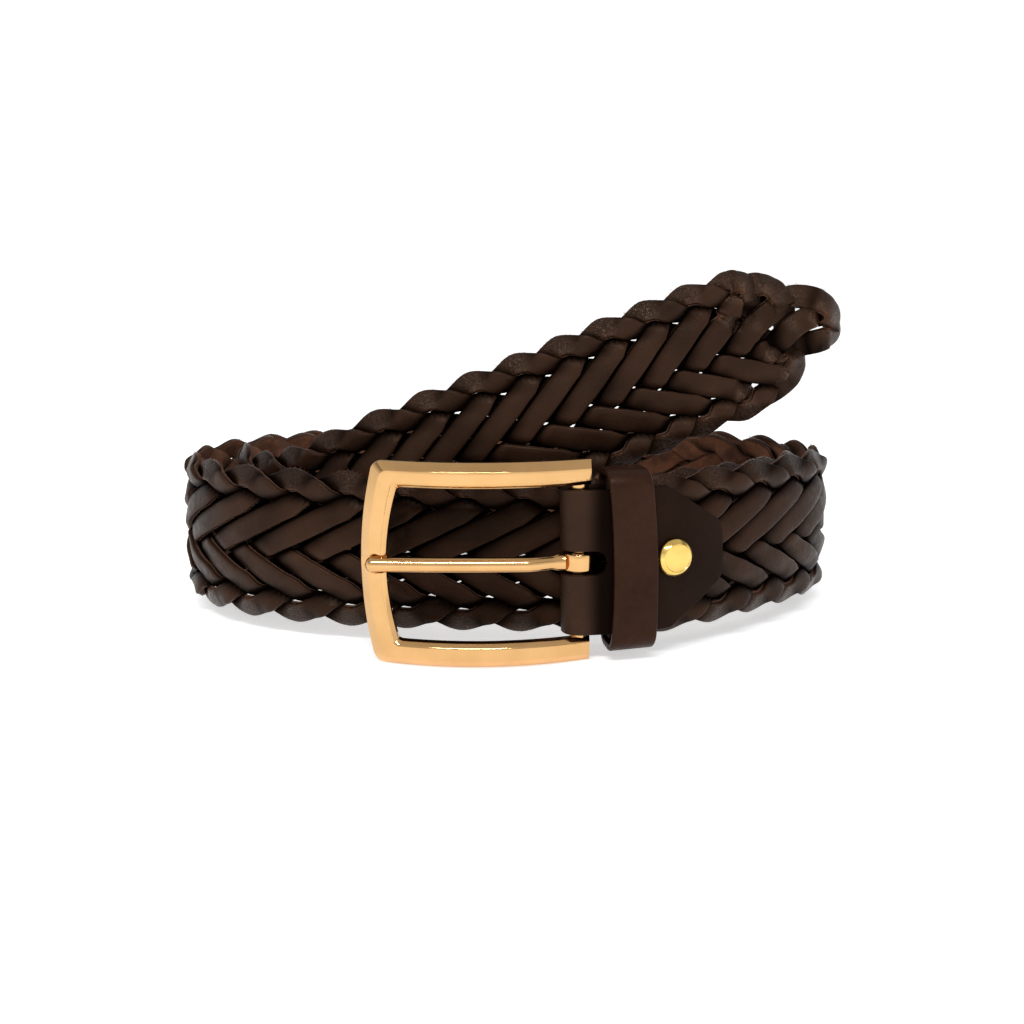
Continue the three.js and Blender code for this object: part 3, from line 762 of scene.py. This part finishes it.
def build_fibres():
    """Short loose fibres on the cut edges, where the strips turn over the strap's edges and face upwards."""
    points = []
    faces = []
    one_fibre = fibre_faces()
    for index in range(STRIPS):
        flat, (rings, count), bend, *_ = strip_points(index)
        strip = flat.reshape(rings, count, 3)
        bend = bend.reshape(rings, count)[:, 0]
        for ring in range(1, rings - 1):
            if bend[ring] < FIBRES_FROM_BEND:
                continue
            middle = strip[ring, GRAIN_FACES // 2]
            inward = strip[ring + 1, GRAIN_FACES // 2] + strip[ring - 1, GRAIN_FACES // 2] - 2 * middle
            edges = (strip[ring, 0], strip[ring, GRAIN_FACES])
            edge = min(edges, key=lambda place: inward @ (place - middle))
            outward = (edge - middle) / np.linalg.norm(edge - middle)
            if outward[2] < FIBRES_FROM_RISE:
                continue
            along = strip[ring + 1, 0] - strip[ring, 0]
            for _ in range(FIBRES_A_RING):
                length = rng.uniform(*FIBRE_LENGTHS)
                start = edge + along * rng.uniform(0, 1) - outward * FIBRE_RADIUS * FIBRE_ROOT
                lean_out = outward + rng.normal(0, FIBRE_LEAN, 3)
                bent = lean_out + rng.normal(0, FIBRE_BEND, 3)
                halfway = start + lean_out * length * 0.5
                first = len(points)
                for k, place in enumerate((start, halfway, halfway + bent * length * 0.5)):
                    radius = FIBRE_RADIUS * (1 - FIBRE_TAPER * k)
                    for corner in range(3):
                        angle = corner * 2 * math.pi / 3
                        points.append(place + radius * np.array([math.cos(angle), 0, math.sin(angle)]))
                faces += [tuple(first + f for f in face) for face in one_fibre]
    return mesh_piece("edge_fibres", placed(points), faces, [fibre_leather], "root")


# The chape: one leather piece folded round the bar, made as an upper and a lower half that meet in the
# middle, with the tongue's slot between them at the fold

FOLD_LENGTH = math.pi * LEAF_OFFSET
CHAPE_EDGE = 0.45
CHAPE_STEP = 0.45
CHAPE_ROUND_END = 1.6
EDGE_POINTS = 5
END_RINGS = 8

# The chape's shades, as how much less light it catches and where, in millimetres from the bar: the shade
# grows up to the keeper, is less past it, and the fold turns away from the light
BESIDE_KEEPER_SHADE = 0.88
BESIDE_KEEPER_FROM = 0.6
BESIDE_KEEPER_OVER = 4.2
PAST_KEEPER_SHADE = 0.60
PAST_KEEPER_OVER = 1.0
FOLD_LIGHT = 0.5
FOLD_FROM = -4.6
FOLD_OVER = 2.6


def chape_place(position, across, offset):
    """Places at distances along the chape's middle surface, from the back leaf's end to the front leaf's."""
    position = np.asarray(position, float)
    side = np.sign(position)
    on_leaf = np.abs(position) - FOLD_LENGTH / 2
    leaf = route.place(np.maximum(on_leaf, 0), across, side * (LEAF_OFFSET + offset))
    centre, along, up, out = route.at(np.zeros(1))
    angle = (position / LEAF_OFFSET)[:, None]
    radius = (LEAF_OFFSET + np.asarray(offset))[:, None]
    ahead = along * radius * np.cos(angle)
    fold = centre + up * np.asarray(across)[:, None] - ahead + out * radius * np.sin(angle)
    return np.where((on_leaf >= 0)[:, None], leaf, fold)


def chape_section(half, inner):
    """Across and offset of the upper half's ring, from its outer edge in to the slot or the middle."""
    wall = LEATHER_WALL / 2
    round_in = min(CHAPE_EDGE, inner)
    corner = np.linspace(0, math.pi / 2, EDGE_POINTS)
    offset = wall - CHAPE_EDGE + CHAPE_EDGE * np.sin(corner)
    outer_edge = np.column_stack([half - CHAPE_EDGE * (1 - np.cos(corner)), offset])
    inner_edge = np.column_stack([inner + round_in * (1 - np.cos(corner)), offset])
    front = np.vstack([outer_edge, inner_edge[::-1]])
    return np.vstack([front, front[::-1] * (1, -1)])


def slot_half(position):
    """Half the slot's height along the fold, with round ends."""
    reach = FOLD_LENGTH / 2 + SLOT_REACH
    radius = SLOT_HEIGHT / 2
    past = np.clip((np.abs(position) - (reach - radius)) / radius, 0, 1)
    return radius * np.sqrt(np.maximum(1 - past ** 2, 0))


def build_chape():
    end = FOLD_LENGTH / 2 + CHAPE_LENGTH
    taper_start = end - CHAPE_TAPER_LENGTH
    round_start = end - CHAPE_ROUND_END
    body = np.arange(0.0, round_start, CHAPE_STEP)
    finish = round_start + CHAPE_ROUND_END * np.sin(np.linspace(0, math.pi / 2, END_RINGS))
    positions = np.concatenate([-finish[::-1], -body[:0:-1], body, finish])
    points = []
    for mirrored in (1, -1):
        for position in positions:
            past = np.clip((abs(position) - taper_start) / CHAPE_TAPER_LENGTH, 0, 1)
            half = lerp(CHAPE_WIDTH, CHAPE_TIP_WIDTH, past) / 2
            into_end = np.clip((abs(position) - round_start) / CHAPE_ROUND_END, 0, 1)
            half -= CHAPE_ROUND_END * (1 - math.sqrt(1 - into_end ** 2))
            section = chape_section(half, float(slot_half(position)))
            ring = chape_place(np.full(len(section), position), mirrored * section[:, 0], section[:, 1])
            points.append(ring)
    count = len(points[0])
    rings = len(positions)
    faces = ring_faces(rings, count)
    lower = [tuple(reversed(f)) for f in ring_faces(rings, count, first=rings * count)]
    stacked = np.vstack(points)
    chape = mesh_piece("chape_leather", placed(stacked), faces + lower, [chape_leather], "root",
                       sharp_angle=40)
    # Painted shade on the chape, by how far each point is from the bar
    from_bar = stacked[:, 0] - bar_local.x
    beside = smooth((from_bar - BESIDE_KEEPER_FROM) / BESIDE_KEEPER_OVER)
    beside = beside * (from_bar < KEEPER_START + KEEPER_WIDTH / 2)
    past = smooth((from_bar - KEEPER_START - KEEPER_WIDTH / 2) / PAST_KEEPER_OVER)
    fold = FOLD_LIGHT + (1 - FOLD_LIGHT) * smooth((from_bar - FOLD_FROM) / FOLD_OVER)
    painted_light = (1 - BESIDE_KEEPER_SHADE * beside) * (1 - PAST_KEEPER_SHADE * past) * fold
    point_attribute(chape, "painted_light", painted_light)
    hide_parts("chape")
    return chape


# The keeper: a band bent round the chape and the strap. The middle of its front is shifted along the strap

KEEPER_EDGE = 0.4
KEEPER_BOW = 0.9
KEEPER_CORNER_STEPS = 10
KEEPER_POINTS = 160
# One even value of the painted light attribute over the whole keeper, which darkens its colour and gloss a
# little
KEEPER_PAINTED_LIGHT = 0.85


def keeper_outline(grow):
    """The loop's outline, grown outwards from its inside, as even places across and out of the strap."""
    inner_across = HALF_WIDTH + FIT_GAP
    inner_out = LEAF_OFFSET + LEATHER_WALL / 2 + FIT_GAP
    radius = grow + KEEPER_INNER_CORNER
    points = []
    for sx, sy, start in ((1, 1, 0), (-1, 1, 1), (-1, -1, 2), (1, -1, 3)):
        for i in range(KEEPER_CORNER_STEPS + 1):
            angle = (start + i / KEEPER_CORNER_STEPS) * math.pi / 2
            points.append((sx * (inner_across + grow - radius) + radius * math.cos(angle),
                           sy * (inner_out + grow - radius) + radius * math.sin(angle)))
    corners = np.array(points)
    closed = np.vstack([corners, corners[:1]])
    length = lengths_along(closed)
    even = np.linspace(0, length[-1], KEEPER_POINTS + 1)[:-1]
    return np.column_stack([np.interp(even, length, closed[:, k]) for k in range(2)])


def build_keeper():
    edge = KEEPER_EDGE
    corner = np.linspace(0, math.pi / 2, 4)
    middle = KEEPER_WALL / 2
    section = []
    for along_sign, grow_sign in ((1, 1), (-1, 1), (-1, -1), (1, -1)):
        turn_points = corner if along_sign * grow_sign > 0 else corner[::-1]
        for a in turn_points:
            section.append((along_sign * (KEEPER_WIDTH / 2 - edge + edge * math.cos(a)),
                            middle + grow_sign * (middle - edge + edge * math.sin(a))))
    inner = keeper_outline(0.0)
    outer = keeper_outline(KEEPER_WALL)
    centre = KEEPER_START + KEEPER_WIDTH / 2
    points = []
    for along, grow in section:
        ring = inner + (outer - inner) * grow / KEEPER_WALL
        bow = KEEPER_BOW * (1 - (ring[:, 0] / (HALF_WIDTH + KEEPER_WALL)) ** 2) * (ring[:, 1] > 0)
        points.append(route.place(centre + along + bow - KEEPER_BOW / 2, ring[:, 0], ring[:, 1]))
    stacked = np.stack(points, 1)
    rings, count = stacked.shape[:2]
    faces = ring_faces(rings, count, closed=True)
    keeper = mesh_piece("keeper_leather", placed(stacked.reshape(-1, 3)), faces, [keeper_leather], "root")
    point_attribute(keeper, "painted_light", np.full(rings * count, KEEPER_PAINTED_LIGHT))
    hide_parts("keeper_loop")
    return keeper


# The rivet: a turned head with a bevelled rim and a flat disc, its shank and its back cap

AXIS_HOLE = 0.05
RIVET_SIDES = 72
BAR_SIDES = 32


def lathe(profile, steps):
    """Points and faces of a profile of radius and height turned round the z axis."""
    profile = np.array(profile)
    angles = np.linspace(0, 2 * math.pi, steps, endpoint=False)
    radii = profile[:, 0]
    heights = np.repeat(profile[:, 1:], steps, 1)
    points = np.stack([np.outer(radii, np.cos(angles)), np.outer(radii, np.sin(angles)), heights], -1)
    return points.reshape(-1, 3), ring_faces(len(profile), steps)


def build_rivet():
    seat = LEAF_OFFSET + LEATHER_WALL / 2 + FIT_GAP
    head = RIVET_HEAD_DIAMETER / 2
    shank = RIVET_SHANK_DIAMETER / 2
    top = seat + RIVET_HEAD_HEIGHT
    back = [(AXIS_HOLE, -seat - RIVET_BACK_CAP), (head * 0.7, -seat - RIVET_BACK_CAP),
            (head * 0.8, -seat - 0.5), (head * 0.8, -seat), (shank, -seat)]
    rim = [(shank, seat), (head * 0.97, seat), (head, seat + 0.12), (head, seat + 0.55),
           (head * 0.975, seat + 0.75), (head * 0.80, top - 0.12)]
    disc = [(head * 0.76, top - 0.02), (head * 0.73, top - 0.02), (head * 0.70, top - 0.14),
            (head * 0.68, top - 0.16), (AXIS_HOLE, top - 0.10)]
    points, faces = lathe(back + rim + disc, RIVET_SIDES)
    centre, along, up, out = (row[0] for row in route.at([RIVET_DISTANCE]))
    turned = centre + points[:, :1] * along + points[:, 1:2] * up + points[:, 2:] * out
    rivet = mesh_piece("rivet_brass", placed(turned), faces, [rivet_gold], "root",
                       sharp_angle=24)
    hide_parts("rivet")
    return rivet


# The buckle's frame: a bevelled section carried round three sides, with its bar

CORNER_RADIUS = 2.0
INNER_CORNER = 0.3
ARM_STATIONS = 40
CORNER_STATIONS = 9
SIDE_STATIONS = 141

# How far each corner of the frame's section is softened, in its own order
SOFTENED = [0.22, 0.12, 0.40, 0.25, 0.12, 0.12, 0.12, 0.12]

# The corner where the section's front begins, which gets more points so that it can be notched
OUTER_BEVEL_END = 1


def bow_at(x):
    """How far the frame bows towards the viewer, from its arms' ends to its side."""
    half = (BUCKLE_LENGTH + ARM_PAST_BAR) / 2
    return -BUCKLE_BOW * np.maximum(0, 1 - ((x - (ARM_PAST_BAR - half)) / half) ** 2)


TONGUE_REST = -BUCKLE_THICKNESS / 2 - TONGUE_DIAMETER / 2 + NOTCH_DEPTH - FIT_GAP
TONGUE_TIP_X = -BUCKLE_LENGTH + TONGUE_SETBACK


def buckle_stations():
    """Outer and inner edge points of the frame, from the upper arm's end round to the lower arm's."""
    outer = np.array((-BUCKLE_LENGTH + SIDE_BULGE, BUCKLE_HEIGHT / 2))
    inner = outer + (SIDE_WIDTH, -ARM_WIDTH)

    def bulge(z):
        return SIDE_BULGE * (1 - (z / outer[1]) ** 2)

    arm = []
    for share in np.linspace(0, 1, ARM_STATIONS):
        arm.append(((lerp(ARM_PAST_BAR, outer[0] + CORNER_RADIUS, share), outer[1]),
                    (lerp(ARM_PAST_BAR, inner[0] + INNER_CORNER, share), inner[1])))
    turn_points = []
    for a in np.linspace(0, math.pi / 2, CORNER_STATIONS)[1:]:
        x = outer[0] + CORNER_RADIUS * (1 - math.sin(a))
        z = outer[1] - CORNER_RADIUS * (1 - math.cos(a))
        inner_x = inner[0] + INNER_CORNER * (1 - math.sin(a))
        inner_z = inner[1] - INNER_CORNER * (1 - math.cos(a))
        past = bulge(z) * math.sin(a)
        turn_points.append(((x - past, z), (inner_x - past, inner_z)))
    side = []
    reach = outer[1] - CORNER_RADIUS
    inner_reach = inner[1] - INNER_CORNER
    for share in np.linspace(1, -1, SIDE_STATIONS)[1:-1]:
        z = share * reach
        side.append(((outer[0] - bulge(z), z), (inner[0] - bulge(z), share * inner_reach)))
    upper = arm + turn_points
    lower = [((o[0], -o[1]), (i[0], -i[1])) for o, i in reversed(upper)]
    return upper + side + lower


def buckle_section():
    """Shares from the outer to the inner edge and distances towards the viewer, with softened corners."""
    half = BUCKLE_THICKNESS / 2
    width = (ARM_WIDTH + SIDE_WIDTH) / 2
    corners = [
        (0.0, half - OUTER_BEVEL), (OUTER_BEVEL, half),
        (width - INNER_BEVEL, half), (width, half - INNER_BEVEL),
        (width, BACK_BEVEL - half), (width - BACK_BEVEL, -half),
        (BACK_BEVEL, -half), (0.0, BACK_BEVEL - half),
    ]
    points = []
    for i, corner in enumerate(corners):
        corner = np.array(corner)
        before = np.array(corners[i - 1]) - corner
        after = np.array(corners[(i + 1) % len(corners)]) - corner
        start = corner + before / np.linalg.norm(before) * SOFTENED[i]
        finish = corner + after / np.linalg.norm(after) * SOFTENED[i]
        for s in (0.0, 0.25, 0.5, 0.75, 1.0):
            points.append((1 - s) ** 2 * start + 2 * s * (1 - s) * corner + s * s * finish)
        if i == OUTER_BEVEL_END:
            target = np.array(corners[i + 1])
            points.extend(lerp(points[-1], target, s) for s in (0.2, 0.4, 0.6, 0.8))
    return np.array(points) / (width, 1)


def build_buckle_frame():
    stations = buckle_stations()
    section = buckle_section()
    outer = np.array([s[0] for s in stations])
    inner = np.array([s[1] for s in stations])
    flat = outer[:, None, :] + (inner - outer)[:, None, :] * section[None, :, :1]
    x, z = flat[..., 0], flat[..., 1]
    y = bow_at(x) - section[None, :, 1]
    radius = TONGUE_DIAMETER / 2 + FIT_GAP
    rest = TONGUE_REST + bow_at(TONGUE_TIP_X)
    past_tip = np.maximum(0, TONGUE_TIP_X - x)
    depth = radius ** 2 - z ** 2 - past_tip ** 2
    in_notch = (depth > 0) & (section[None, :, 1] > 0)
    y = np.where(in_notch, np.maximum(y, rest + np.sqrt(np.maximum(depth, 0))), y)
    points = np.stack([x, y, z], -1).reshape(-1, 3)
    faces = ring_faces(len(stations), len(section))
    bar_end = BUCKLE_HEIGHT / 2 - ARM_WIDTH / 2
    bar_radius = BAR_DIAMETER / 2
    rod = [(AXIS_HOLE, -bar_end), (bar_radius, -bar_end), (bar_radius, bar_end), (AXIS_HOLE, bar_end)]
    bar_points, bar_faces = lathe(rod, BAR_SIDES)
    bar_faces = [tuple(k + len(points) for k in f) for f in bar_faces]
    body = mesh_piece("buckle_frame_gold", placed_at_bar(np.vstack([points, bar_points])), faces + bar_faces,
                      [buckle_gold], "buckle", sharp_angle=50)
    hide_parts("buckle_frame")
    return body


# Where the tongue's rounded tip begins, as a share of its length, and how its rings are spread
TIP_FROM = 0.97
TIP_OVER = 0.03
FLARE_AT = 0.96
SMALLEST_TIP = 0.0004
TONGUE_SIDES = 28
EYE_STATIONS = 64
EYE_EDGE = 0.35


def build_tongue():
    tip_y = TONGUE_REST + bow_at(TONGUE_TIP_X)
    eye_inner = BAR_DIAMETER / 2 + FIT_GAP
    eye_outer = eye_inner + TONGUE_EYE_WALL
    radius = TONGUE_DIAMETER / 2
    start = -eye_inner - TONGUE_EYE_WALL / 2
    angles = np.linspace(0, 2 * math.pi, TONGUE_SIDES, endpoint=False)
    tip_shares = 1 - TIP_OVER * (1 - np.sin(np.linspace(0, math.pi / 2, 12)[1:]))
    shares = np.concatenate([np.linspace(0, TIP_FROM, 90), tip_shares])
    points = []
    for share in shares:
        x = lerp(start, TONGUE_TIP_X, share)
        from_eye = float(smooth(share / 0.2))
        y = lerp(-eye_outer * 0.45, tip_y, from_eye) - TONGUE_ARCH * math.sin(math.pi * share) * from_eye
        into_tip = max(0.0, (share - TIP_FROM) / TIP_OVER)
        size = math.sqrt(max(1 - into_tip ** 2, SMALLEST_TIP))
        flare = 1 + 0.05 * math.exp(-((share - FLARE_AT) / TIP_OVER) ** 2)
        wide = radius * size * flare
        tall = lerp(TONGUE_EYE_WIDTH / 2, wide, float(smooth((share - 0.035) / 0.03)))
        ring = [np.full(TONGUE_SIDES, x), y - wide * np.cos(angles), tall * np.sin(angles)]
        points.append(np.column_stack(ring))
    rod_points = np.vstack(points)
    faces = ring_faces(len(shares), TONGUE_SIDES)
    soft = EYE_EDGE
    half = TONGUE_EYE_WIDTH / 2
    profile = [(eye_inner, -half + soft), (eye_inner + soft, -half)]
    profile += [(eye_outer - soft + soft * math.sin(a), -half + soft - soft * math.cos(a))
                for a in np.linspace(0, math.pi / 2, 5)]
    profile += [(eye_outer - soft + soft * math.cos(a), half - soft + soft * math.sin(a))
                for a in np.linspace(0, math.pi / 2, 5)]
    profile += [(eye_inner + soft, half), (eye_inner, half - soft)]
    angles = np.linspace(0, 2 * math.pi, EYE_STATIONS, endpoint=False)
    eye = np.array([[(r * math.cos(a), r * math.sin(a), h) for r, h in profile] for a in angles])
    eye_faces = ring_faces(eye.shape[0], eye.shape[1], first=len(rod_points), closed=True)
    tongue = mesh_piece("tongue_gold", placed_at_bar(np.vstack([rod_points, eye.reshape(-1, 3)])),
                        faces + eye_faces, [buckle_gold], "tongue", sharp_angle=60)
    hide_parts("buckle_tongue")
    return tongue


def make_normals_point_out(pieces):
    """Turns a mesh over where the volume inside it comes out negative."""
    for piece in pieces:
        mesh = piece.data
        volume = 0.0
        mesh.calc_loop_triangles()
        for triangle in mesh.loop_triangles:
            a, b, c = (mesh.vertices[i].co for i in triangle.vertices)
            volume += a.dot(b.cross(c))
        if volume < 0:
            mesh.flip_normals()


strips = build_strips()
fibres = build_fibres()
chape = build_chape()
keeper = build_keeper()
rivet = build_rivet()
buckle_frame = build_buckle_frame()
tongue = build_tongue()
make_normals_point_out([*strips, fibres, chape, keeper, rivet, buckle_frame, tongue])


# Floor, light and camera

FLOOR_HALF = 3.0
FLOOR_WHITE = (0.95, 0.95, 0.95, 1)
FLOOR_GLOW = 0.50
WORLD_STRENGTH = 1.05

# Brightness of the world by height, as pairs of height and grey
WORLD_GREYS = [(0.0, 1.0), (0.22, 1.0), (0.45, 0.3), (1.0, 0.15)]


def stage():
    mesh = bpy.data.meshes.new("floor")
    corners = [(x * FLOOR_HALF, y * FLOOR_HALF, 0) for x, y in ((-1, -1), (1, -1), (1, 1), (-1, 1))]
    mesh.from_pydata(corners, [], [(0, 1, 2, 3)])
    floor = add_object("floor", mesh)
    material, _, shader = new_material("floor_white")
    set_inputs(shader, {"Base Color": FLOOR_WHITE, "Roughness": 0.8, "Specular IOR Level": 0.1,
                        "Emission Color": (1, 1, 1, 1), "Emission Strength": FLOOR_GLOW})
    mesh.materials.append(material)
    world = bpy.data.worlds.new("studio")
    bpy.context.scene.world = world
    world.use_nodes = True
    tree = world.node_tree
    coords = node(tree, "ShaderNodeTexCoord")
    split = node(tree, "ShaderNodeSeparateXYZ")
    tree.links.new(coords.outputs["Generated"], split.inputs["Vector"])
    stops = [(height, (grey, grey, grey)) for height, grey in WORLD_GREYS]
    ramp = ramp_node(tree, split.outputs["Z"], stops)
    background = tree.nodes["Background"]
    tree.links.new(ramp.outputs["Color"], background.inputs["Color"])
    background.inputs["Strength"].default_value = WORLD_STRENGTH


def light_object(name, data, place, direction):
    light = add_object(name, data)
    light.location = place
    light.rotation_euler = Vector(direction).to_track_quat("-Z", "Y").to_euler()


def soft_sun(name, direction, power, spread):
    data = bpy.data.lights.new(name, "SUN")
    data.energy = power
    data.angle = math.radians(spread)
    light_object(name, data, (0, 0, 0), direction)


def area_light(name, place, target, size, power):
    data = bpy.data.lights.new(name, "AREA")
    data.shape = "RECTANGLE"
    data.size = size[0]
    data.size_y = size[1]
    data.energy = power
    light_object(name, data, place, Vector(target) - Vector(place))


# The photograph's view: focal length and place fitted to the strap's edges in it
FOCAL_PIXELS = 1303.0
IMAGE_PIXELS = 1024.0
SENSOR = 36.0
CAMERA_RIGHT = 0.0012
CAMERA_HEIGHT = 0.0965
CAMERA_BACK = 0.3136
CAMERA_PITCH = 13.3


def camera():
    data = bpy.data.cameras.new("camera")
    data.sensor_width = SENSOR
    data.lens = FOCAL_PIXELS / IMAGE_PIXELS * SENSOR
    data.clip_start = 0.01
    made = add_object("camera", data)
    made.location = (CAMERA_RIGHT, -CAMERA_BACK, CAMERA_HEIGHT)
    made.rotation_euler = (math.radians(90 - CAMERA_PITCH), 0, 0)
    bpy.context.scene.camera = made


stage()
soft_sun("overhead", (0.05, 0.2, -1.0), 0.9, 110.0)
area_light("key", (-0.04, -0.42, 0.48), (0, 0, 0.04), (0.36, 0.02), 1.9)
camera()
bpy.context.scene.view_settings.view_transform = "Standard"
